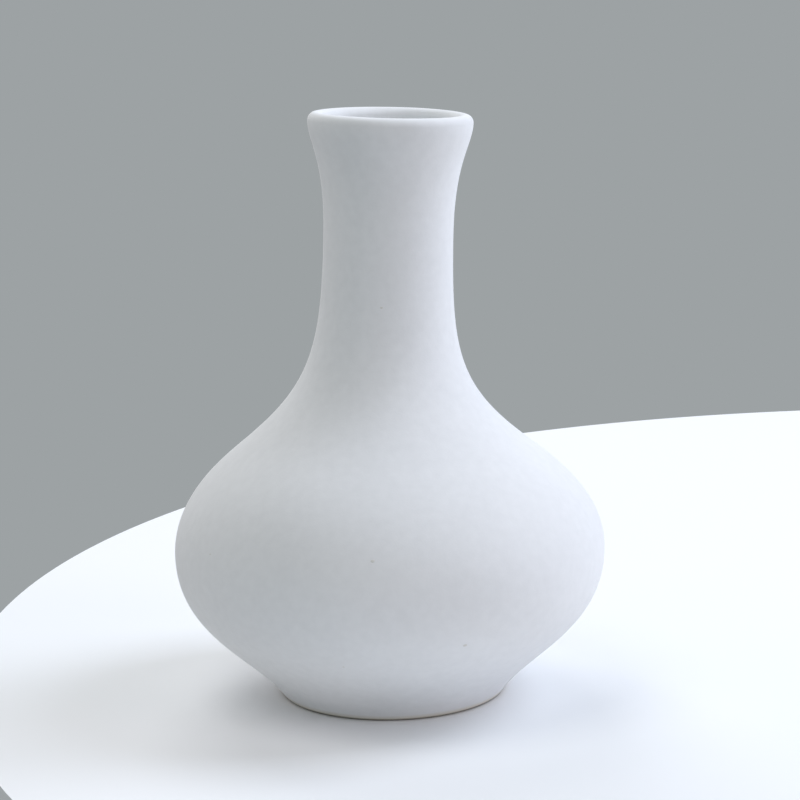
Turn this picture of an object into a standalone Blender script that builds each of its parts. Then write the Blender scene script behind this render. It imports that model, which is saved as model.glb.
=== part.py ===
"""Ceramic bud vase: a slip-cast bisque body with a glaze lining fired inside it.

The body is one turned shell: a small foot, a wide low belly, a long neck with a waist
and a rounded lip that flares out. The neck leans a little, as a cast neck does when it
dries. The lining is the thin coat of glaze that makes the porous body hold water.

The vase stands on z = 0 with its axis on Z, and its neck leans towards +X.
"""

import math
from typing import NamedTuple

import bmesh
import bpy
from mathutils import Matrix, Vector

# Driving dimensions, in metres and degrees.
HEIGHT = 0.135  # from the ground to the middle of the rim
FOOT_RADIUS = 0.0254  # of the flat that stands on the ground
BELLY_RADIUS = 0.050
BELLY_HEIGHT = 0.0341
SHOULDER_RADIUS = 0.0341  # where the shoulder slopes most
SHOULDER_RISE = 0.0242  # of that point above the belly
WAIST_RADIUS = 0.01487
WAIST_DROP = 0.0269  # of the neck's narrowest point below the rim
LIP_RADIUS = 0.01884
WALL = 0.0037
BASE = 0.0035  # thickness of the base inside the foot ring
FLOOR_CORNER = 0.005  # height of the curve between the cavity's floor and its wall
FOOT_EDGE = 0.0008  # radius of the worn edge around the foot
FOOT_RING_WIDTH = 0.0045
BASE_RECESS = 0.0012  # depth of the hollow inside the foot ring
RECESS_CURVE = 0.0018  # width of the curve from the ring into that hollow
FOOT_FLARE = 35.2  # of the outline from the vertical, where it leaves the foot
SHOULDER_SLOPE = -51.4
NECK_LEAN = 2.36  # towards +X
LEAN_PIVOT = 0.36  # where the leaning neck's line meets the axis, from shoulder to waist
LEAN_FULL = 0.68  # where the whole lean is reached, from shoulder to waist

GLAZE = 0.0005  # thickness of the lining
GLAZE_GAP = 0.0003  # clearance between the lining and the wall
GLAZE_DROP = 0.006  # of the lining's top edge below the rim

STEPS = 48  # round the axis
CURVE_STEPS = 7  # along each stretch of the outline
CORNER_STEPS = 4
LIP_STEPS = 8
EDGE_STEPS = 3
MERGE = 0.00001


class Station(NamedTuple):
    """A point of the outer outline, the way that it runs there, and how full it is.

    The slope is in degrees from the vertical, and positive where the outline widens
    upwards. A fullness is the length of the curve's handle as a share of the stretch
    that it belongs to, on the lower and the upper side of the station.
    """

    radius: float
    height: float
    slope: float
    full_below: float
    full_above: float

    @property
    def point(self):
        return Vector((self.radius, self.height))

    @property
    def way(self):
        angle = math.radians(self.slope)
        return Vector((math.sin(angle), math.cos(angle)))


def stations():
    """The outline's stations, from the foot to the lip."""
    flare = math.radians(FOOT_FLARE)
    return [
        Station(
            radius=FOOT_RADIUS + FOOT_EDGE * math.cos(flare),
            height=FOOT_EDGE * (1 - math.sin(flare)),
            slope=FOOT_FLARE,
            full_below=0.0,
            full_above=0.347,
        ),
        Station(BELLY_RADIUS, BELLY_HEIGHT, 0.0, 0.419, 0.395),
        Station(SHOULDER_RADIUS, BELLY_HEIGHT + SHOULDER_RISE, SHOULDER_SLOPE, 0.272, 0.407),
        Station(WAIST_RADIUS, HEIGHT - WAIST_DROP, 0.0, 0.527, 0.636),
        Station(LIP_RADIUS, HEIGHT - WALL / 2, 0.0, 0.193, 0.0),
    ]


def stretch(low, high, inset):
    """Points from one station up to the next, moved in from the outer surface by inset."""
    span = (high.point - low.point).length
    a = low.point
    b = a + low.way * low.full_above * span
    d = high.point
    c = d - high.way * high.full_below * span
    points = []
    for step in range(CURVE_STEPS + 1):
        t = step / CURVE_STEPS
        s = 1 - t
        point = a * s**3 + b * 3 * s**2 * t + c * 3 * s * t**2 + d * t**3
        way = ((b - a) * s**2 + (c - b) * 2 * s * t + (d - c) * t**2).normalized()
        points.append(point + Vector((-way.y, way.x)) * inset)
    return points


def wall_line(inset):
    """The outline from the foot up to the lip, moved in by inset, as (radius, height)."""
    line = []
    stops = stations()
    for low, high in zip(stops, stops[1:]):
        line += stretch(low, high, inset)[1 if line else 0 :]
    return line


def arc(centre, radius, start, end, steps):
    """Points on an arc, by angles in degrees from the +radius direction."""
    angles = [math.radians(start + (end - start) * step / steps) for step in range(steps + 1)]
    return [centre + Vector((math.cos(a), math.sin(a))) * radius for a in angles]


def blend(a, corner, b, steps):
    """Points of a curve from a to b that is drawn towards a corner, without its two ends."""
    shares = [step / steps for step in range(1, steps)]
    return [a * (1 - t) ** 2 + corner * 2 * t * (1 - t) + b * t**2 for t in shares]


def crossing(line, height):
    """Where an outline that rises passes a height."""
    for low, high in zip(line, line[1:]):
        if low.y <= height <= high.y:
            return low.lerp(high, (height - low.y) / (high.y - low.y))
    return Vector((line[0].x, height))


def cavity(inset, top=None):
    """The outline of a cavity, from its centre out along the floor and up the wall.

    It lies inset from the outer wall, and the same amount further in than the body's own
    floor as it is further in than the body's own inner wall. Without a top it runs to the
    lip.
    """
    line = wall_line(inset)
    floor = BASE_RECESS + BASE + (inset - WALL)
    corner = crossing(line, floor)
    springing = crossing(line, floor + FLOOR_CORNER)
    edge = Vector((corner.x - FLOOR_CORNER, floor))
    turn = blend(edge, corner, springing, CORNER_STEPS)
    wall = [point for point in line if point.y > springing.y]
    if top is not None:
        wall = [point for point in wall if point.y < top] + [crossing(line, top)]
    return [Vector((0, floor)), Vector((edge.x / 2, floor)), edge, *turn, springing, *wall]


def body_outline():
    """The body's outline: cavity, lip, outer side, foot and hollow base, ending on the axis."""
    lip_centre = Vector((LIP_RADIUS - WALL / 2, HEIGHT - WALL / 2))
    lip = arc(lip_centre, WALL / 2, 180, 0, LIP_STEPS)[1:-1]
    outer = wall_line(0)[::-1]
    edge_centre = Vector((FOOT_RADIUS, FOOT_EDGE))
    edge = arc(edge_centre, FOOT_EDGE, -FOOT_FLARE, -90, EDGE_STEPS)[1:]
    ring = Vector((FOOT_RADIUS - FOOT_RING_WIDTH, 0))
    hollow = Vector((ring.x - RECESS_CURVE, BASE_RECESS))
    corner = Vector(((ring.x + hollow.x) / 2, BASE_RECESS))
    base = [ring, *blend(ring, corner, hollow, EDGE_STEPS), hollow, Vector((0, BASE_RECESS))]
    return cavity(WALL) + lip + outer + edge + base


def lining_outline():
    """The lining's outline: its inner side, its top edge and the side against the wall."""
    top = HEIGHT - GLAZE_DROP
    outside = cavity(WALL + GLAZE_GAP, top)
    inside = cavity(WALL + GLAZE_GAP + GLAZE, top)
    crown = (inside[-1] + outside[-1]) / 2 + Vector((0, GLAZE / 2))
    return inside + [crown] + outside[::-1]


def smooth_step(share):
    """A share from 0 to 1, eased at both ends."""
    share = min(max(share, 0.0), 1.0)
    return share * share * (3 - 2 * share)


def lean(point):
    """A point of the upright vase, carried along by the lean of the neck.

    From the belly up, each level section slides along the leaning line of the neck and
    tips with it, more and more until the whole lean is reached.
    """
    _, belly, shoulder, waist, _ = stations()
    neck = waist.height - shoulder.height
    pivot = shoulder.height + neck * LEAN_PIVOT
    full = shoulder.height + neck * LEAN_FULL
    share = smooth_step((point.z - belly.height) / (full - belly.height))
    angle = math.radians(NECK_LEAN)
    centre = Vector((math.tan(angle) * (point.z - pivot) * share, 0, point.z))
    return centre + Matrix.Rotation(angle * share, 3, "Y") @ Vector((point.x, point.y, 0))


def finish(name, colour, roughness):
    """A plain finish for one of the two pieces."""
    material = bpy.data.materials.new(name)
    material.use_nodes = True
    shader = material.node_tree.nodes["Principled BSDF"]
    shader.inputs["Base Color"].default_value = (*colour, 1)
    shader.inputs["Roughness"].default_value = roughness
    return material


def turned(name, outline, material, collection):
    """A piece turned from an outline of (radius, height) points, with the neck's lean."""
    profile = bpy.data.meshes.new(name + "_profile")
    points = [(point.x, 0, point.y) for point in outline]
    profile.from_pydata(points, [(i, i + 1) for i in range(len(points) - 1)], [])
    lathe = bpy.data.objects.new(name + "_lathe", profile)
    bpy.context.scene.collection.objects.link(lathe)
    screw = lathe.modifiers.new("turn", "SCREW")
    screw.axis = "Z"
    screw.steps = screw.render_steps = STEPS
    screw.use_merge_vertices = True
    screw.merge_threshold = MERGE
    graph = bpy.context.evaluated_depsgraph_get()
    mesh = bpy.data.meshes.new_from_object(lathe.evaluated_get(graph))
    bpy.data.objects.remove(lathe)
    bpy.data.meshes.remove(profile)

    shape = bmesh.new()
    shape.from_mesh(mesh)
    bmesh.ops.remove_doubles(shape, verts=shape.verts, dist=MERGE)
    for vertex in shape.verts:
        vertex.co = lean(vertex.co)
    shape.to_mesh(mesh)
    shape.free()

    mesh.name = name
    mesh.shade_smooth()
    mesh.set_sharp_from_angle(angle=math.radians(40))
    mesh.materials.clear()
    mesh.materials.append(material)
    piece = bpy.data.objects.new(name, mesh)
    collection.objects.link(piece)
    return piece


def clear_scene():
    for thing in list(bpy.data.objects):
        bpy.data.objects.remove(thing)


def main():
    clear_scene()
    vase = bpy.data.collections.new("bud_vase")
    bpy.context.scene.collection.children.link(vase)
    bisque = finish("bisque", (0.80, 0.81, 0.82), 0.85)
    glaze = finish("clear_glaze", (0.78, 0.80, 0.80), 0.15)
    turned("bisque_body", body_outline(), bisque, vase)
    turned("glaze_lining", lining_outline(), glaze, vase)


main()
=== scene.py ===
"""Looks of a ceramic bud vase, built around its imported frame.

The vase is cast from white slip, sponged smooth and fired without glaze on the outside. A
coat of clear glaze inside makes it hold water. It has no moving parts, so every piece rides
on the one body of the frame.
"""

import logging
import math
from dataclasses import dataclass, field
from enum import Enum
from typing import Any

import bpy
from bpy.types import Material, Mesh, Node, NodeSocket, NodeTree, Object
from mathutils import Matrix, Vector


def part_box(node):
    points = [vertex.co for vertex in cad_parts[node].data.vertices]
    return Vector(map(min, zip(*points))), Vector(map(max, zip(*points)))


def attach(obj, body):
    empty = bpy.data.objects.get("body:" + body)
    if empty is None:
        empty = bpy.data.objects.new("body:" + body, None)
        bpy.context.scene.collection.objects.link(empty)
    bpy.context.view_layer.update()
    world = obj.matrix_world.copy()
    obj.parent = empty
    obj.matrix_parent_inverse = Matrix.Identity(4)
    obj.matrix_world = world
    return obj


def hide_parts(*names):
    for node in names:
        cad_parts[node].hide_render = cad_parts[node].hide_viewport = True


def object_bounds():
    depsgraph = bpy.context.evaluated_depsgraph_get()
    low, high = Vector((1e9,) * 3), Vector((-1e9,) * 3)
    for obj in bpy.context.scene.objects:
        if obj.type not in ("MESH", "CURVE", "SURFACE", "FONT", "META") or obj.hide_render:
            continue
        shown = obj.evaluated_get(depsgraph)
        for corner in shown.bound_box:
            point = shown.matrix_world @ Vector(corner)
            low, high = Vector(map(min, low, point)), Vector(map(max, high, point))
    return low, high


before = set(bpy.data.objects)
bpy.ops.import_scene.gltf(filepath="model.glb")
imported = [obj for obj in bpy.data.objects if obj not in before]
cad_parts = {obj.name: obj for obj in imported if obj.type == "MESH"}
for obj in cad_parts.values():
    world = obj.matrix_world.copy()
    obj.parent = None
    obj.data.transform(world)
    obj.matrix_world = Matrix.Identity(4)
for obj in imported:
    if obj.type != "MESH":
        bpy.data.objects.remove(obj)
cad_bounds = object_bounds()

MM = 0.001
BODY = "root"
LEVEL = (1.0, 1.0, 0.0)  # a vector times this keeps only what lies level
NOISE_MIDDLE = 0.5
log = logging.getLogger("bud_vase")


class Slot(Enum):
    """The record's material slots."""

    BISQUE = "bisque"
    GLAZE = "clear_glaze"


class CadNode(Enum):
    """The frame's nodes that finer pieces stand for."""

    BODY = "bisque_body"
    LINING = "glaze_lining"


# Colours and nodes


def linear(colour: str) -> tuple[float, float, float, float]:
    """Turns an sRGB hex colour into the linear colour that sockets take.

    Args:
        colour: six hex digits after a #.

    Returns:
        Linear red, green and blue, and an alpha of 1.
    """
    channels = [int(colour[i : i + 2], 16) / 255 for i in (1, 3, 5)]
    red, green, blue = (
        c / 12.92 if c <= 0.04045 else ((c + 0.055) / 1.055) ** 2.4 for c in channels
    )
    return red, green, blue, 1.0


def add_node(
    tree: NodeTree, kind: str, inputs: dict[Any, Any] | None = None, **settings: Any
) -> Node:
    """Adds a node to a tree, with its settings and what feeds it.

    Args:
        tree: the tree that gets the node.
        kind: the node's type name.
        inputs: a value or another node's output for each input, by name or number.
        settings: the node's own properties.

    Returns:
        The new node.
    """
    node = tree.nodes.new(kind)
    for name, value in settings.items():
        setattr(node, name, value)
    for key, value in (inputs or {}).items():
        if isinstance(value, NodeSocket):
            tree.links.new(value, node.inputs[key])
        else:
            node.inputs[key].default_value = value
    return node


# The form of the vase


@dataclass(frozen=True)
class Station:
    """A point of the outer outline, the way that it runs there, and how full it is.

    The slope is in degrees from the vertical, and positive where the outline widens
    upwards. A fullness is the curve handle's share of the stretch that it belongs to.
    """

    radius: float
    height: float
    slope: float = 0.0
    full_below: float = 0.0
    full_above: float = 0.0

    @property
    def point(self) -> Vector:
        """The station as (radius, height)."""
        return Vector((self.radius, self.height))

    @property
    def way(self) -> Vector:
        """The outline's direction there, going up."""
        angle = math.radians(self.slope)
        return Vector((math.sin(angle), math.cos(angle)))


@dataclass(frozen=True)
class VaseForm:
    """The cast form: its stations, its wall and its foot, in metres and degrees."""

    rim_height: float
    belly_radius: float
    wall: float = 3.7 * MM
    lip_radius: float = 18.84 * MM
    lean: float = 2.36  # of the neck, towards +X
    lean_pivot: float = 0.36  # where the neck's line meets the axis, from shoulder to waist
    lean_full: float = 0.68  # where the whole lean is reached, from shoulder to waist
    foot_radius: float = 25.4 * MM
    foot_flare: float = 35.2
    foot_edge: float = 0.8 * MM
    belly_height: float = 34.1 * MM
    shoulder_radius: float = 34.1 * MM
    shoulder_rise: float = 24.2 * MM
    shoulder_slope: float = -51.4
    waist_radius: float = 14.87 * MM
    waist_drop: float = 26.9 * MM
    ring_width: float = 4.5 * MM
    base_recess: float = 1.2 * MM
    recess_curve: float = 1.8 * MM
    base: float = 3.5 * MM
    floor_corner: float = 5.0 * MM

    # How full the outline is below and above each station.
    foot_full: float = 0.347
    belly_full: tuple[float, float] = (0.419, 0.395)
    shoulder_full: tuple[float, float] = (0.272, 0.407)
    waist_full: tuple[float, float] = (0.527, 0.636)
    lip_full: float = 0.193

    # Steps along the short stretches of the outline.
    floor_steps: int = 8
    corner_steps: int = 10
    ring_steps: int = 5
    hollow_steps: int = 10

    @classmethod
    def from_frame(cls) -> "VaseForm":
        """The form whose height and belly are those of the frame's body.

        Returns:
            A form that fills the frame's box. The rim's middle lies below the box's top by
            what the lean lifts one side of the rim.
        """
        low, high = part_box(CadNode.BODY.value)
        lift = (cls.lip_radius - cls.wall / 2) * math.sin(math.radians(cls.lean))
        return cls(rim_height=high.z - lift, belly_radius=(high.y - low.y) / 2)

    @property
    def shoulder_height(self) -> float:
        """Where the shoulder slopes most."""
        return self.belly_height + self.shoulder_rise

    @property
    def waist_height(self) -> float:
        """Where the neck is narrowest."""
        return self.rim_height - self.waist_drop

    def up_the_neck(self, share: float) -> float:
        """The height that lies this share of the way from the shoulder to the waist."""
        return self.shoulder_height + (self.waist_height - self.shoulder_height) * share

    def stations(self) -> list[Station]:
        """The stations of the outer outline.

        Returns:
            Five stations, from the foot to the lip.
        """
        flare = math.radians(self.foot_flare)
        foot = Station(
            radius=self.foot_radius + self.foot_edge * math.cos(flare),
            height=self.foot_edge * (1 - math.sin(flare)),
            slope=self.foot_flare,
            full_above=self.foot_full,
        )
        shoulder = (self.shoulder_radius, self.shoulder_height, self.shoulder_slope)
        return [
            foot,
            Station(self.belly_radius, self.belly_height, 0.0, *self.belly_full),
            Station(*shoulder, *self.shoulder_full),
            Station(self.waist_radius, self.waist_height, 0.0, *self.waist_full),
            Station(self.lip_radius, self.rim_height - self.wall / 2, 0.0, self.lip_full),
        ]

    def wall_line(self, inset: float, steps: int) -> list[Vector]:
        """The outline from the foot up to the lip, moved in from the outer surface.

        Args:
            inset: how far in.
            steps: points along each stretch between two stations.

        Returns:
            Points as (radius, height).
        """
        line: list[Vector] = []
        stops = self.stations()
        for low, high in zip(stops, stops[1:]):
            span = (high.point - low.point).length
            a, d = low.point, high.point
            b = a + low.way * low.full_above * span
            c = d - high.way * high.full_below * span
            for step in range(1 if line else 0, steps + 1):
                t = step / steps
                s = 1 - t
                point = a * s**3 + b * 3 * s**2 * t + c * 3 * s * t**2 + d * t**3
                way = ((b - a) * s**2 + (c - b) * 2 * s * t + (d - c) * t**2).normalized()
                line.append(point + Vector((-way.y, way.x)) * inset)
        return line

    def cavity(self, inset: float, steps: int, top: float | None = None) -> list[Vector]:
        """A cavity's outline, from its centre out along the floor and up the wall.

        Args:
            inset: how far in from the outer surface the cavity's wall lies.
            steps: points along each stretch of the wall.
            top: the height where it ends, or None for the lip.

        Returns:
            Points as (radius, height).
        """
        line = self.wall_line(inset, steps)
        floor = self.base_recess + self.base + (inset - self.wall)
        corner = crossing(line, floor)
        springing = crossing(line, floor + self.floor_corner)
        edge = Vector((corner.x - self.floor_corner, floor))
        wall = [point for point in line if point.y > springing.y]
        if top is not None:
            wall = [point for point in wall if point.y < top] + [crossing(line, top)]
        flat = even_steps(Vector((0, floor)), edge, self.floor_steps)
        turn = blend(edge, corner, springing, self.corner_steps)
        return [*flat, *turn, springing, *wall]

    def lip(self, steps: int) -> list[Vector]:
        """The round of the lip, from the inner wall over to the outer, without its ends."""
        centre = Vector((self.lip_radius - self.wall / 2, self.rim_height - self.wall / 2))
        return arc(centre, self.wall / 2, 180, 0, steps)[1:-1]

    def foot(self, steps: int) -> list[Vector]:
        """The foot's rounded edge, its ring and the hollow base.

        Args:
            steps: how many steps each rounded stretch takes.

        Returns:
            Points as (radius, height), ending on the axis.
        """
        centre = Vector((self.foot_radius, self.foot_edge))
        edge = arc(centre, self.foot_edge, -self.foot_flare, -90, steps)[1:]
        ring = Vector((self.foot_radius - self.ring_width, 0))
        hollow = Vector((ring.x - self.recess_curve, self.base_recess))
        corner = Vector(((ring.x + hollow.x) / 2, self.base_recess))
        flat = even_steps(edge[-1], ring, self.ring_steps)[1:]
        middle = Vector((0, self.base_recess))
        under = even_steps(hollow, middle, self.hollow_steps)
        return [*edge, *flat, ring, *blend(ring, corner, hollow, steps), *under, middle]


def crossing(line: list[Vector], height: float) -> Vector:
    """Where an outline that rises passes a height.

    Args:
        line: the outline's points, as (radius, height).
        height: the height to look for.

    Returns:
        The point at that height. Where the outline doesn't reach it, the outline's first
        radius stands in.
    """
    for low, high in zip(line, line[1:]):
        if low.y <= height <= high.y:
            return low.lerp(high, (height - low.y) / (high.y - low.y))
    return Vector((line[0].x, height))


def arc(centre: Vector, radius: float, start: float, end: float, steps: int) -> list[Vector]:
    """Points on an arc.

    Args:
        centre: the arc's centre, as (radius, height).
        radius: the arc's own radius.
        start: its first angle in degrees, from the way that leads outwards.
        end: its last angle.
        steps: how many steps it takes.

    Returns:
        Points from start to end, both included.
    """
    angles = [math.radians(start + (end - start) * step / steps) for step in range(steps + 1)]
    return [centre + Vector((math.cos(a), math.sin(a))) * radius for a in angles]


def blend(a: Vector, corner: Vector, b: Vector, steps: int) -> list[Vector]:
    """Points of a curve from a to b that is drawn towards a corner, without its ends."""
    shares = [step / steps for step in range(1, steps)]
    return [a * (1 - t) ** 2 + corner * 2 * t * (1 - t) + b * t**2 for t in shares]


def even_steps(a: Vector, b: Vector, steps: int) -> list[Vector]:
    """Evenly spaced points from a towards b, without b."""
    return [a.lerp(b, step / steps) for step in range(steps)]


# Geometry nodes


class NodeShape:
    """A geometry node tree with named inputs, and the modifier that runs it."""

    def __init__(self, name: str, inputs: dict[str, str]) -> None:
        """Makes an empty tree.

        Args:
            name: the tree's name.
            inputs: the socket type of each named input, besides the geometry.
        """
        self.tree: NodeTree = bpy.data.node_groups.new(name, "GeometryNodeTree")
        face = self.tree.interface
        face.new_socket("Geometry", in_out="INPUT", socket_type="NodeSocketGeometry")
        face.new_socket("Geometry", in_out="OUTPUT", socket_type="NodeSocketGeometry")
        self.sockets = {
            key: face.new_socket(key, in_out="INPUT", socket_type=kind).identifier
            for key, kind in inputs.items()
        }
        self.given = add_node(self.tree, "NodeGroupInput").outputs

    def close(self, geometry: NodeSocket) -> None:
        """Ends the tree: smooth faces, real geometry and the given material.

        Args:
            geometry: the output that holds the finished shape.
        """
        tree = self.tree
        smooth = add_node(tree, "GeometryNodeSetShadeSmooth", {"Geometry": geometry})
        real = add_node(tree, "GeometryNodeRealizeInstances", {"Geometry": smooth.outputs[0]})
        finish = {"Geometry": real.outputs[0], "Material": self.given["Material"]}
        dressed = add_node(tree, "GeometryNodeSetMaterial", finish)
        add_node(tree, "NodeGroupOutput", {"Geometry": dressed.outputs[0]})

    def run(self, name: str, start: Mesh, values: dict[str, Any]) -> Object:
        """Runs the tree on a mesh and keeps the result as a plain mesh.

        Args:
            name: the new piece's name.
            start: the mesh that the tree gets.
            values: a value for each named input.

        Returns:
            The piece, at the origin, with no modifier.
        """
        piece = bpy.data.objects.new(name, start)
        bpy.context.scene.collection.objects.link(piece)
        modifier = piece.modifiers.new(self.tree.name, "NODES")
        modifier.node_group = self.tree
        for key, value in values.items():
            modifier[self.sockets[key]] = value
        graph = bpy.context.evaluated_depsgraph_get()
        made = bpy.data.meshes.new_from_object(piece.evaluated_get(graph))
        piece.modifiers.clear()
        piece.data = made
        made.name = name
        bpy.data.meshes.remove(start)
        return piece


class TurnedShape(NodeShape):
    """Turns an outline about the axis, then gives it the waver and lean of a fired pot.

    The outline comes in as a chain of points in the XZ plane. From the belly up, each level
    section slides along the leaning line of the neck and tips with it, more and more until
    the whole lean is reached.
    """

    RIM_ZONE = 14 * MM  # how far down from the rim its waver fades out
    SEAM = 0.001 * MM  # points closer than this are one
    SIZES = ("Lean", "Pivot", "Lean start", "Lean full", "Rim")
    WAVERS = ("Waver", "Waver size", "Rim waver", "Seed")

    def __init__(self) -> None:
        """Builds the tree."""
        inputs = {key: "NodeSocketFloat" for key in (*self.SIZES, *self.WAVERS)}
        inputs |= {"Rounds": "NodeSocketInt", "Material": "NodeSocketMaterial"}
        super().__init__("turned_shape", inputs)
        sheet, upright = self.rolled_up()
        placed = self.leaned(self.wavered(upright))
        moved = add_node(
            self.tree, "GeometryNodeSetPosition", {"Geometry": sheet, "Position": placed}
        )
        joined = add_node(
            self.tree,
            "GeometryNodeMergeByDistance",
            {"Geometry": moved.outputs[0], "Distance": self.SEAM},
        )
        self.close(joined.outputs[0])

    def rolled_up(self) -> tuple[NodeSocket, NodeSocket]:
        """A sheet with a row for each outline point and a column for each step round.

        Returns:
            The flat sheet, and the place of each of its points once it is rolled up.
        """
        tree = self.tree
        outline = self.given["Geometry"]
        rows = add_node(
            tree, "GeometryNodeAttributeDomainSize", {"Geometry": outline}
        ).outputs["Point Count"]
        columns = add_node(
            tree, "ShaderNodeMath", {0: self.given["Rounds"], 1: 1.0}, operation="ADD"
        ).outputs[0]
        sheet = add_node(
            tree,
            "GeometryNodeMeshGrid",
            {"Size X": math.tau, "Size Y": 1.0, "Vertices X": columns, "Vertices Y": rows},
        ).outputs["Mesh"]
        # The sheet's points are numbered column by column.
        index = add_node(tree, "GeometryNodeInputIndex").outputs[0]
        row = add_node(tree, "ShaderNodeMath", {0: index, 1: rows}, operation="MODULO").outputs[0]
        place = add_node(tree, "GeometryNodeInputPosition").outputs[0]
        point = add_node(
            tree,
            "GeometryNodeSampleIndex",
            {"Geometry": outline, "Value": place, "Index": row},
            data_type="FLOAT_VECTOR",
        ).outputs[0]
        turn = add_node(tree, "ShaderNodeSeparateXYZ", {"Vector": place}).outputs["X"]
        # Inverted, so that the faces look out of the clay.
        upright = add_node(
            tree,
            "ShaderNodeVectorRotate",
            {"Vector": point, "Angle": turn},
            rotation_type="Z_AXIS",
            invert=True,
        ).outputs[0]
        return sheet, upright

    def wavered(self, upright: NodeSocket) -> NodeSocket:
        """Gives the turned shape the soft waver of hand sponging.

        The waver only takes clay away, so the piece stays inside the turned shape. Near the
        rim it also lowers the lip by a little.

        Args:
            upright: the place of each point of the true turned shape.

        Returns:
            The place with its waver.
        """
        tree, given = self.tree, self.given
        scale = add_node(
            tree, "ShaderNodeMath", {0: 1.0, 1: given["Waver size"]}, operation="DIVIDE"
        ).outputs[0]
        noise = add_node(
            tree,
            "ShaderNodeTexNoise",
            {"Vector": upright, "W": given["Seed"], "Scale": scale, "Detail": 1.0},
            noise_dimensions="4D",
        )
        chance = add_node(tree, "ShaderNodeSeparateXYZ", {"Vector": noise.outputs["Color"]}).outputs
        level = add_node(
            tree, "ShaderNodeVectorMath", {0: upright, 1: LEVEL}, operation="MULTIPLY"
        ).outputs[0]
        outward = add_node(
            tree, "ShaderNodeVectorMath", {0: level}, operation="NORMALIZE"
        ).outputs[0]
        worn = add_node(
            tree, "ShaderNodeMath", {0: chance["X"], 1: given["Waver"]}, operation="MULTIPLY"
        ).outputs[0]
        taken = add_node(
            tree, "ShaderNodeVectorMath", {0: outward, "Scale": worn}, operation="SCALE"
        ).outputs[0]
        height = add_node(tree, "ShaderNodeSeparateXYZ", {"Vector": upright}).outputs["Z"]
        below = add_node(
            tree, "ShaderNodeMath", {0: given["Rim"], 1: self.RIM_ZONE}, operation="SUBTRACT"
        ).outputs[0]
        at_rim = add_node(
            tree,
            "ShaderNodeMapRange",
            {"Value": height, "From Min": below, "From Max": given["Rim"]},
            interpolation_type="SMOOTHSTEP",
        ).outputs[0]
        dip = add_node(
            tree, "ShaderNodeMath", {0: chance["Y"], 1: at_rim}, operation="MULTIPLY"
        ).outputs[0]
        low = add_node(
            tree, "ShaderNodeMath", {0: dip, 1: given["Rim waver"]}, operation="MULTIPLY"
        ).outputs[0]
        lowered = add_node(tree, "ShaderNodeCombineXYZ", {"Z": low}).outputs[0]
        for change in (taken, lowered):
            upright = add_node(
                tree, "ShaderNodeVectorMath", {0: upright, 1: change}, operation="SUBTRACT"
            ).outputs[0]
        return upright

    def leaned(self, upright: NodeSocket) -> NodeSocket:
        """Carries each level section along the leaning line of the neck.

        Args:
            upright: the place of each point in the upright vase.

        Returns:
            Its place in the leaning vase.
        """
        tree, given = self.tree, self.given
        height = add_node(tree, "ShaderNodeSeparateXYZ", {"Vector": upright}).outputs["Z"]
        share = add_node(
            tree,
            "ShaderNodeMapRange",
            {"Value": height, "From Min": given["Lean start"], "From Max": given["Lean full"]},
            interpolation_type="SMOOTHSTEP",
        ).outputs[0]
        angle = add_node(
            tree, "ShaderNodeMath", {0: given["Lean"], 1: share}, operation="MULTIPLY"
        ).outputs[0]
        level = add_node(
            tree, "ShaderNodeVectorMath", {0: upright, 1: LEVEL}, operation="MULTIPLY"
        ).outputs[0]
        tipped = add_node(
            tree,
            "ShaderNodeVectorRotate",
            {"Vector": level, "Angle": angle},
            rotation_type="Y_AXIS",
        ).outputs[0]
        slope = add_node(
            tree, "ShaderNodeMath", {0: given["Lean"]}, operation="TANGENT"
        ).outputs[0]
        slide = add_node(
            tree, "ShaderNodeMath", {0: height, 1: given["Pivot"]}, operation="SUBTRACT"
        ).outputs[0]
        for factor in (slope, share):
            slide = add_node(
                tree, "ShaderNodeMath", {0: slide, 1: factor}, operation="MULTIPLY"
            ).outputs[0]
        middle = add_node(tree, "ShaderNodeCombineXYZ", {"X": slide, "Z": height}).outputs[0]
        return add_node(
            tree, "ShaderNodeVectorMath", {0: middle, 1: tipped}, operation="ADD"
        ).outputs[0]


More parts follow.
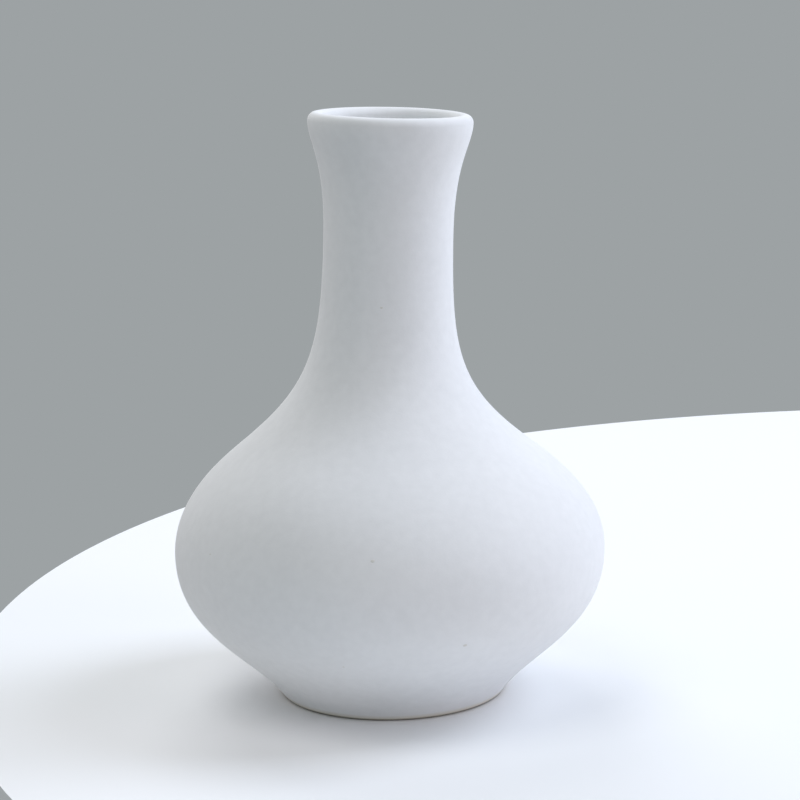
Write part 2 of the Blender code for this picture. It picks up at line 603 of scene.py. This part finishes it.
class ScatteredSpecks(NodeShape):
    """Scatters small flat grains over the outside of a mesh and lays them in its surface."""

    GRAIN = (1.0, 0.7, 0.12)  # length, width and thickness, as shares of its size
    GRAIN_DETAIL = 2
    LOWEST = 2.0 * MM  # grains lie above the foot's edge

    def __init__(self) -> None:
        """Builds the tree."""
        sizes = ("Spacing", "Density", "Smallest", "Largest")
        inputs = {key: "NodeSocketFloat" for key in sizes}
        inputs |= {"Seed": "NodeSocketInt", "Material": "NodeSocketMaterial"}
        super().__init__("scattered_specks", inputs)
        tree, given = self.tree, self.given
        spots = add_node(
            tree,
            "GeometryNodeDistributePointsOnFaces",
            {
                "Mesh": given["Geometry"],
                "Selection": self.outside(),
                "Distance Min": given["Spacing"],
                "Density Max": given["Density"],
                "Seed": given["Seed"],
            },
            distribute_method="POISSON",
        ).outputs
        grain = add_node(
            tree, "GeometryNodeMeshIcoSphere", {"Radius": 1.0, "Subdivisions": self.GRAIN_DETAIL}
        ).outputs["Mesh"]
        size = add_node(
            tree,
            "FunctionNodeRandomValue",
            {2: given["Smallest"], 3: given["Largest"], "Seed": given["Seed"]},
            data_type="FLOAT",
        ).outputs[1]
        flat = add_node(
            tree, "ShaderNodeVectorMath", {0: self.GRAIN, "Scale": size}, operation="SCALE"
        ).outputs[0]
        laid = add_node(
            tree,
            "GeometryNodeInstanceOnPoints",
            {
                "Points": spots["Points"],
                "Instance": grain,
                "Rotation": spots["Rotation"],
                "Scale": flat,
            },
        )
        self.close(laid.outputs[0])

    def outside(self) -> NodeSocket:
        """Picks the faces that can hold a grain.

        Returns:
            True on faces that look away from the axis and lie above the foot's edge.
        """
        tree = self.tree
        place = add_node(tree, "GeometryNodeInputPosition").outputs[0]
        way = add_node(tree, "GeometryNodeInputNormal").outputs[0]
        level = add_node(
            tree, "ShaderNodeVectorMath", {0: place, 1: LEVEL}, operation="MULTIPLY"
        ).outputs[0]
        facing = add_node(
            tree, "ShaderNodeVectorMath", {0: way, 1: level}, operation="DOT_PRODUCT"
        ).outputs["Value"]
        height = add_node(tree, "ShaderNodeSeparateXYZ", {"Vector": place}).outputs["Z"]
        outer, above = (
            add_node(
                tree, "ShaderNodeMath", {0: value, 1: least}, operation="GREATER_THAN"
            ).outputs[0]
            for value, least in ((facing, 0.0), (height, self.LOWEST))
        )
        return add_node(
            tree, "ShaderNodeMath", {0: outer, 1: above}, operation="MULTIPLY"
        ).outputs[0]


# Finishes


@dataclass(frozen=True)
class Bisque:
    """White stoneware slip, cast, sponged smooth and fired once without glaze.

    It gives the eye a chalky, even white with hardly any gloss. The clay fires a little
    uneven, and the sponge leaves faint upright streaks on the neck and a fine tooth all over.
    Shade is painted at the bottom of the foot: a warm, darker band, and a dark line of painted
    contact shadow at its outer edge, where it meets the floor.
    """

    pale: str = "#ECEDEE"
    toned: str = "#E7E8E9"
    # painted shade: a warm, darker band at the bottom of the foot, where it meets the floor
    foot_shade: str = "#DCD6C6"
    # painted contact shadow: the dark line at the foot's outer edge, where it meets the floor
    contact_shadow: str = "#756F65"
    roughness: float = 0.88
    roughness_spread: float = 0.08
    ior: float = 1.5
    cloud_size: float = 18 * MM
    mottle_size: float = 2.2 * MM
    streak_width: float = 2.4 * MM
    streak_length: float = 18 * MM
    tooth_size: float = 0.42 * MM  # real grit is 0.1 mm, drawn coarser so that it shows
    tooth_depth: float = 0.016 * MM
    ripple_size: float = 9 * MM
    ripple_depth: float = 0.03 * MM
    cloud_share: float = 0.25  # of the clay's unevenness
    mottle_share: float = 0.5
    streak_share: float = 0.25
    palest: float = 0.35  # the unevenness where the clay is all pale
    most_toned: float = 0.65  # and where it is all toned
    streaks_full: float = 0.3  # where the streaks are full, from shoulder to waist
    # Painted shade at the foot: the band's height and strength, then the contact line's height.
    foot_shade_height: float = 1.6 * MM
    foot_shade_share: float = 0.85
    contact_shadow_height: float = 0.6 * MM
    shade_full: float = 0.25  # the share of a band's height below which its painted shade is full
    edge_width: float = 1.2 * MM

    def build(self, form: VaseForm) -> Material:
        """The finish as a node material on Object coordinates.

        Args:
            form: the vase that it covers, whose shoulder is where the streaks begin.

        Returns:
            The material.
        """
        material = bpy.data.materials.new("bisque_stoneware")
        material.use_nodes = True
        tree = material.node_tree
        shader = tree.nodes["Principled BSDF"].inputs
        shader["IOR"].default_value = self.ior
        place = add_node(tree, "ShaderNodeTexCoord").outputs["Object"]
        height = add_node(tree, "ShaderNodeSeparateXYZ", {"Vector": place}).outputs["Z"]

        patterns = {
            "cloud": (self.cloud_size, self.cloud_size),
            "mottle": (self.mottle_size, self.mottle_size),
            "streak": (self.streak_width, self.streak_length),
            "ripple": (self.ripple_size, self.ripple_size),
            "tooth": (self.tooth_size, self.tooth_size),
        }
        noise: dict[str, NodeSocket] = {}
        for name, (width, length) in patterns.items():
            scale = (1 / width, 1 / width, 1 / length)
            spread = add_node(
                tree, "ShaderNodeVectorMath", {0: place, 1: scale}, operation="MULTIPLY"
            ).outputs[0]
            inputs = {"Vector": spread, "Scale": 1.0, "Detail": 2.0}
            noise[name] = add_node(tree, "ShaderNodeTexNoise", inputs).outputs[0]

        on_neck = add_node(
            tree,
            "ShaderNodeMapRange",
            {
                "Value": height,
                "From Min": form.shoulder_height,
                "From Max": form.up_the_neck(self.streaks_full),
                "To Min": NOISE_MIDDLE,
                "To Max": noise["streak"],
            },
        ).outputs[0]
        tone: NodeSocket | float = 0.0
        for value, share in (
            (noise["cloud"], self.cloud_share),
            (noise["mottle"], self.mottle_share),
            (on_neck, self.streak_share),
        ):
            tone = add_node(
                tree, "ShaderNodeMath", {0: value, 1: share, 2: tone}, operation="MULTIPLY_ADD"
            ).outputs[0]
        share = add_node(
            tree,
            "ShaderNodeMapRange",
            {"Value": tone, "From Min": self.palest, "From Max": self.most_toned},
        ).outputs[0]
        clay = add_node(
            tree,
            "ShaderNodeMix",
            {0: share, 6: linear(self.pale), 7: linear(self.toned)},
            data_type="RGBA",
        ).outputs[2]
        # The painted contact shadow, a dark line, is only where the ring's outer edge meets the
        # floor.
        level = add_node(
            tree, "ShaderNodeVectorMath", {0: place, 1: LEVEL}, operation="MULTIPLY"
        ).outputs[0]
        radius = add_node(
            tree, "ShaderNodeVectorMath", {0: level}, operation="LENGTH"
        ).outputs["Value"]
        at_edge = add_node(
            tree,
            "ShaderNodeMapRange",
            {
                "Value": radius,
                "From Min": form.foot_radius - self.edge_width,
                "From Max": form.foot_radius,
            },
        ).outputs[0]
        # Painted shade at the foot: a warm, darker band along its bottom, then the dark contact
        # line at its outer edge.
        for shade_colour, reach, most in (
            (self.foot_shade, self.foot_shade_height, self.foot_shade_share),
            (self.contact_shadow, self.contact_shadow_height, at_edge),
        ):
            full = self.shade_full * reach
            shade_share = add_node(
                tree,
                "ShaderNodeMapRange",
                {"Value": height, "From Min": reach, "From Max": full, "To Max": most},
            ).outputs[0]
            clay = add_node(
                tree, "ShaderNodeMix", {0: shade_share, 6: clay, 7: linear(shade_colour)}, data_type="RGBA"
            ).outputs[2]
        tree.links.new(clay, shader["Base Color"])

        rough = add_node(
            tree,
            "ShaderNodeMapRange",
            {
                "Value": tone,
                "To Min": self.roughness - self.roughness_spread,
                "To Max": self.roughness + self.roughness_spread,
            },
        ).outputs[0]
        tree.links.new(rough, shader["Roughness"])

        ripple = add_node(
            tree, "ShaderNodeBump", {"Height": noise["ripple"], "Distance": self.ripple_depth}
        ).outputs[0]
        tooth = add_node(
            tree,
            "ShaderNodeBump",
            {"Height": noise["tooth"], "Distance": self.tooth_depth, "Normal": ripple},
        ).outputs[0]
        tree.links.new(tooth, shader["Normal"])
        return material


@dataclass(frozen=True)
class ClearGlaze:
    """Clear glaze poured round the inside and fired: glass over white clay.

    It is glossy with a slight orange peel, and it turns a little green where it pooled on
    the floor.
    """

    thin: str = "#E3E7E6"
    pooled: str = "#C6D5D0"
    roughness: float = 0.1
    ior: float = 1.52
    pool_depth: float = 9 * MM
    peel_size: float = 2.4 * MM
    peel_depth: float = 0.03 * MM

    def build(self, floor: float) -> Material:
        """The finish as a node material on Object coordinates.

        Args:
            floor: the height of the lining's floor, where the glaze pooled.

        Returns:
            The material.
        """
        material = bpy.data.materials.new("clear_glaze")
        material.use_nodes = True
        tree = material.node_tree
        shader = tree.nodes["Principled BSDF"].inputs
        shader["Roughness"].default_value = self.roughness
        shader["IOR"].default_value = self.ior
        place = add_node(tree, "ShaderNodeTexCoord").outputs["Object"]
        height = add_node(tree, "ShaderNodeSeparateXYZ", {"Vector": place}).outputs["Z"]
        peel = add_node(
            tree,
            "ShaderNodeTexNoise",
            {"Vector": place, "Scale": 1 / self.peel_size, "Detail": 1.0},
        ).outputs[0]
        pool = add_node(
            tree,
            "ShaderNodeMapRange",
            {"Value": height, "From Min": floor + self.pool_depth, "From Max": floor},
        ).outputs[0]
        colour = add_node(
            tree,
            "ShaderNodeMix",
            {0: pool, 6: linear(self.thin), 7: linear(self.pooled)},
            data_type="RGBA",
        ).outputs[2]
        tree.links.new(colour, shader["Base Color"])
        bump = add_node(tree, "ShaderNodeBump", {"Height": peel, "Distance": self.peel_depth})
        tree.links.new(bump.outputs[0], shader["Normal"])
        return material


@dataclass(frozen=True)
class Grog:
    """A grain of darker mineral in the clay, sponged flush: dull and faintly warm."""

    colour: str = "#E1E0DC"
    fleck: str = "#D8D6D1"
    roughness: float = 0.8
    fleck_size: float = 0.2 * MM

    def build(self) -> Material:
        """The finish as a node material on Object coordinates.

        Returns:
            The material.
        """
        material = bpy.data.materials.new("grog_grain")
        material.use_nodes = True
        tree = material.node_tree
        shader = tree.nodes["Principled BSDF"].inputs
        shader["Roughness"].default_value = self.roughness
        place = add_node(tree, "ShaderNodeTexCoord").outputs["Object"]
        share = add_node(
            tree, "ShaderNodeTexNoise", {"Vector": place, "Scale": 1 / self.fleck_size}
        ).outputs[0]
        colour = add_node(
            tree,
            "ShaderNodeMix",
            {0: share, 6: linear(self.colour), 7: linear(self.fleck)},
            data_type="RGBA",
        ).outputs[2]
        tree.links.new(colour, shader["Base Color"])
        return material


# The pieces


@dataclass
class Vase:
    """The bud vase: the cast body, its glaze lining and the grains in its surface."""

    form: VaseForm
    body_rounds: int = 256
    lining_rounds: int = 160
    outer_steps: int = 38
    inner_steps: int = 20
    lip_steps: int = 28
    foot_steps: int = 8
    bead_steps: int = 8
    waver: float = 0.10 * MM
    waver_size: float = 34 * MM
    rim_waver: float = 0.4 * MM
    seed: float = 4.0
    glaze: float = 0.45 * MM
    glaze_gap: float = 0.02 * MM
    glaze_drop: float = 6.0 * MM
    grain_spacing: float = 20 * MM
    grain_density: float = 900.0  # to a square metre, before the spacing thins them out
    smallest_grain: float = 0.2 * MM  # from its middle to its tip
    largest_grain: float = 0.5 * MM
    grain_seed: int = 11
    pieces: list[Object] = field(default_factory=list)

    def build(self) -> list[Object]:
        """Builds and dresses each piece.

        Returns:
            The pieces, riding on the frame's body.
        """
        shape = TurnedShape()
        body = self.cast_body(shape)
        self.dress(body, CadNode.BODY)
        lining = self.glaze_lining(shape)
        self.dress(lining, CadNode.LINING)
        self.dress(self.grains(body))
        return self.pieces

    def dress(self, piece: Object, stands_for: CadNode | None = None) -> None:
        """Ties a piece to the frame.

        Args:
            piece: the finished piece.
            stands_for: the CAD node that it replaces, if any.
        """
        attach(piece, BODY)
        if stands_for:
            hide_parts(stands_for.value)
        self.pieces.append(piece)

    def turned(
        self, shape: TurnedShape, name: str, outline: list[Vector], rounds: int, finish: Material
    ) -> Object:
        """Turns an outline into a piece with the vase's lean and waver.

        Args:
            shape: the geometry nodes that turn it.
            name: the piece's name.
            outline: points as (radius, height), from the cavity's centre to the base's.
            rounds: steps round the axis.
            finish: the material.

        Returns:
            The piece.
        """
        chain = bpy.data.meshes.new(name + "_outline")
        points = [(point.x, 0.0, point.y) for point in outline]
        chain.from_pydata(points, [(i, i + 1) for i in range(len(points) - 1)], [])
        form = self.form
        values = {
            "Lean": math.radians(form.lean),
            "Pivot": form.up_the_neck(form.lean_pivot),
            "Lean start": form.belly_height,
            "Lean full": form.up_the_neck(form.lean_full),
            "Rim": form.rim_height,
            "Waver": self.waver,
            "Waver size": self.waver_size,
            "Rim waver": self.rim_waver,
            "Rounds": rounds,
            "Seed": self.seed,
            "Material": finish,
        }
        return shape.run(name, chain, values)

    def cast_body(self, shape: TurnedShape) -> Object:
        """The cast shell, from the cavity over the lip and down to the hollow base.

        Args:
            shape: the geometry nodes that turn it.

        Returns:
            The piece.
        """
        form = self.form
        cavity = form.cavity(form.wall, self.inner_steps)
        outer = form.wall_line(0, self.outer_steps)[::-1]
        outline = [*cavity, *form.lip(self.lip_steps), *outer, *form.foot(self.foot_steps)]
        finish = Bisque().build(form)
        return self.turned(shape, "bisque_body_surface", outline, self.body_rounds, finish)

    def glaze_lining(self, shape: TurnedShape) -> Object:
        """The coat of glaze, a closed skin that lies on the body's inner wall.

        Args:
            shape: the geometry nodes that turn it.

        Returns:
            The piece.
        """
        form = self.form
        top = form.rim_height - self.glaze_drop
        outside = form.cavity(form.wall + self.glaze_gap, self.inner_steps, top)
        inside = form.cavity(form.wall + self.glaze_gap + self.glaze, self.inner_steps, top)
        middle = (inside[-1] + outside[-1]) / 2
        bead = arc(middle, self.glaze / 2, 180, 0, self.bead_steps)[1:-1]
        outline = [*inside, *bead, *outside[::-1]]
        finish = ClearGlaze().build(floor=inside[0].y)
        return self.turned(shape, "glaze_lining_surface", outline, self.lining_rounds, finish)

    def grains(self, body: Object) -> Object:
        """A few darker grains of the clay that the sponge laid bare.

        Args:
            body: the cast shell that they lie in.

        Returns:
            The grains, as one piece.
        """
        values = {
            "Spacing": self.grain_spacing,
            "Density": self.grain_density,
            "Smallest": self.smallest_grain,
            "Largest": self.largest_grain,
            "Seed": self.grain_seed,
            "Material": Grog().build(),
        }
        return ScatteredSpecks().run("clay_grains", body.data.copy(), values)


# The studio


@dataclass(frozen=True)
class SoftLight:
    """A large square lamp that looks at the vase."""

    name: str
    azimuth: float  # degrees, 0 behind the camera and 90 on its right
    elevation: float
    distance: float
    size: float
    power: float
    colour: str = "#FFFFFF"

    def build(self, target: Vector) -> Object:
        """Places the lamp.

        Args:
            target: what it looks at.

        Returns:
            The lamp's object.
        """
        lamp = bpy.data.lights.new(self.name, "AREA")
        lamp.size = self.size
        lamp.energy = self.power
        lamp.color = linear(self.colour)[:3]
        placed = bpy.data.objects.new(self.name, lamp)
        turn, lift = math.radians(self.azimuth), math.radians(self.elevation)
        level = math.cos(lift)
        way = Vector((math.sin(turn) * level, -math.cos(turn) * level, math.sin(lift)))
        placed.location = target + way * self.distance
        placed.rotation_euler = (-way).to_track_quat("-Z", "Y").to_euler()
        bpy.context.scene.collection.objects.link(placed)
        return placed


@dataclass(frozen=True)
class ViewCamera:
    """A long lens a little above the vase."""

    distance: float = 0.5701
    height: float = 0.1788
    sideways: float = 0.0031
    down: float = 10.93
    roll: float = -1.26  # positive tips the camera to its left
    view: float = 18.06

    def build(self) -> Object:
        """Places the camera and makes it the scene's.

        Returns:
            The camera's object.
        """
        lens = bpy.data.cameras.new("camera")
        lens.angle = math.radians(self.view)
        placed = bpy.data.objects.new("camera", lens)
        placed.location = (self.sideways, -self.distance, self.height)
        aim = Matrix.Rotation(math.radians(90 - self.down), 3, "X")
        tip = Matrix.Rotation(math.radians(self.roll), 3, "Z")
        placed.rotation_euler = (aim @ tip).to_euler()
        bpy.context.scene.collection.objects.link(placed)
        bpy.context.scene.camera = placed
        return placed


@dataclass
class Studio:
    """A round pale floor, a plain grey surrounding and soft lamps, brightest on the right."""

    floor_radius: float = 0.276
    floor_centre: tuple[float, float] = (0.171, 0.044)
    floor_colour: str = "#F3F4F5"
    floor_roughness: float = 0.7
    floor_steps: int = 256
    surrounding: str = "#9DA2A4"
    fill: float = 1.0
    lights: tuple[SoftLight, ...] = (
        SoftLight("window", 105, 42, 1.0, 0.55, 6.10, "#E3EDFF"),
        SoftLight("back_window", 195, 42, 1.0, 0.55, 2.99, "#FAFBFF"),
        SoftLight("ceiling", 300, 66, 1.0, 0.55, 2.19),
        SoftLight("right_wall", 60, 18, 1.0, 0.45, 1.58, "#FFEFF8"),
        SoftLight("left_wall", 240, 18, 1.0, 0.45, 0.89, "#FFEBE6"),
    )

    def build(self, target: Vector) -> None:
        """Makes the floor, the surrounding, the lamps and the camera.

        Args:
            target: the middle of the vase.
        """
        self.floor()
        self.world()
        for light in self.lights:
            light.build(target)
        ViewCamera().build()
        bpy.context.scene.view_settings.view_transform = "Standard"

    def floor(self) -> Object:
        """The pale floor that the vase stands on.

        Returns:
            The floor, which isn't part of the object.
        """
        mesh = bpy.data.meshes.new("floor")
        steps = range(self.floor_steps)
        turns = [math.tau * step / self.floor_steps for step in steps]
        x, y = self.floor_centre
        radius = self.floor_radius
        rim = [(x + radius * math.cos(a), y + radius * math.sin(a), 0) for a in turns]
        mesh.from_pydata(rim, [], [steps])
        floor = bpy.data.objects.new("floor", mesh)
        bpy.context.scene.collection.objects.link(floor)
        material = bpy.data.materials.new("pale_floor")
        material.use_nodes = True
        shader = material.node_tree.nodes["Principled BSDF"]
        shader.inputs["Base Color"].default_value = linear(self.floor_colour)
        shader.inputs["Roughness"].default_value = self.floor_roughness
        mesh.materials.append(material)
        return floor

    def world(self) -> None:
        """The plain grey surrounding, which is also the fill light."""
        world = bpy.data.worlds.new("surrounding")
        world.use_nodes = True
        background = world.node_tree.nodes["Background"]
        background.inputs["Color"].default_value = linear(self.surrounding)
        background.inputs["Strength"].default_value = self.fill
        bpy.context.scene.world = world


def main() -> None:
    """Builds the vase and its studio, and reports each piece."""
    logging.basicConfig(level=logging.INFO, format="%(name)s: %(message)s")
    vase = Vase(VaseForm.from_frame())
    for piece in vase.build():
        log.info("%s: %d faces", piece.name, len(piece.data.polygons))
    low, high = cad_bounds
    Studio().build((Vector(low) + Vector(high)) / 2)


if __name__ == "__main__":
    main()
